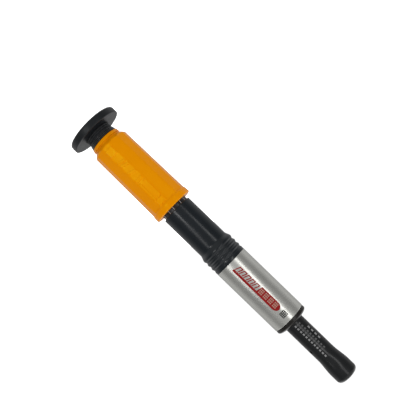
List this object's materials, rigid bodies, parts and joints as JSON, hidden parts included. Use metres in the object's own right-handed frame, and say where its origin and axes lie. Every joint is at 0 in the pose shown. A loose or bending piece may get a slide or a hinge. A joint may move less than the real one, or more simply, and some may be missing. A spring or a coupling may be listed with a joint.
{
  "type": "desoldering pump",
  "caption": "Pen-shaped spring-driven desoldering pump: palm knob on a latched plunger, sliding release sleeve, barrel, steel cylinder, screw cap and wide-mouthed nozzle.",
  "frame": {"origin": "centre of the palm knob's outer face, which the pump stands on", "axes": "+Z along the pump from the knob to the nozzle's mouth; -Y towards the printed side, with the nozzle tip's grub screw 24 degrees from +X towards -Y"},
  "size_m": [0.0308, 0.0308, 0.1924],
  "materials": {
    "knob_plastic": "satin moulded",
    "black_rubber": "matte",
    "rod_steel": "ground and plated",
    "hardware_steel": "turned",
    "dark_steel": "blackened",
    "spring_steel": "drawn wire",
    "piston_plastic": "turned acetal",
    "core_plastic": "satin moulded",
    "barrel_plastic": "satin moulded",
    "cylinder_steel": "brushed round",
    "bronze": "sintered",
    "sleeve_plastic": "semi-gloss moulded",
    "cam_plastic": "moulded acetal",
    "cap_plastic": "semi-gloss moulded",
    "nozzle_plastic": "satin moulded",
    "tip_plastic": "heat-proof, turned"
  },
  "bodies": {
    "barrel": {"core_tube": "core_plastic", "rear_bushing": "core_plastic", "grip_barrel": "barrel_plastic", "steel_cylinder": "cylinder_steel", "rod_bush": "bronze", "spring_seat": "hardware_steel", "stop_buffer": "black_rubber", "main_spring": "spring_steel", "release_spring": "spring_steel", "latch_clip": "spring_steel", "spring_circlip": "dark_steel"},
    "plunger": {"knob": "knob_plastic", "knob_screw": "hardware_steel", "knob_bumper": "black_rubber", "plunger_rod": "rod_steel", "latch_collar": "hardware_steel", "collar_clip": "dark_steel", "piston": "piston_plastic", "piston_seal": "black_rubber", "piston_nut": "hardware_steel", "clearing_pin": "rod_steel"},
    "sleeve": {"release_sleeve": "sleeve_plastic", "sleeve_end_ring": "sleeve_plastic", "cam_ring": "cam_plastic"},
    "nozzle": {"nozzle_shell": "nozzle_plastic", "nozzle_tip": "tip_plastic", "tip_seal": "black_rubber", "tip_grub_screw": "dark_steel"},
    "cap": {"cap_nut": "cap_plastic", "cap_seal": "black_rubber", "cap_circlip": "dark_steel"}
  },
  "joints": [
    {"name": "plunger_slide", "type": "slide", "parent": "barrel", "child": "plunger", "axis": [0, 0, -1], "range_m": [0, 0.027], "deforming": ["main_spring"]},
    {"name": "release_slide", "type": "slide", "parent": "barrel", "child": "sleeve", "axis": [0, 0, 1], "range_m": [0, 0.0017], "stiffness_N_per_m": 1200, "springref_m": -0.004, "deforming": ["release_spring", "latch_clip"]},
    {"name": "nozzle_slide", "type": "slide", "parent": "barrel", "child": "nozzle", "axis": [0, 0, 1], "range_m": [0, 0.0045]},
    {"name": "cap_turn", "type": "hinge", "parent": "nozzle", "child": "cap", "pos_m": [0, 0, 0.1476], "axis": [0, 0, 1], "range_deg": [0, 1080]}
  ],
  "couplings": [
    {"joint": "nozzle_slide", "follows": "cap_turn", "m_per_rad": 0.00023873}
  ]
}
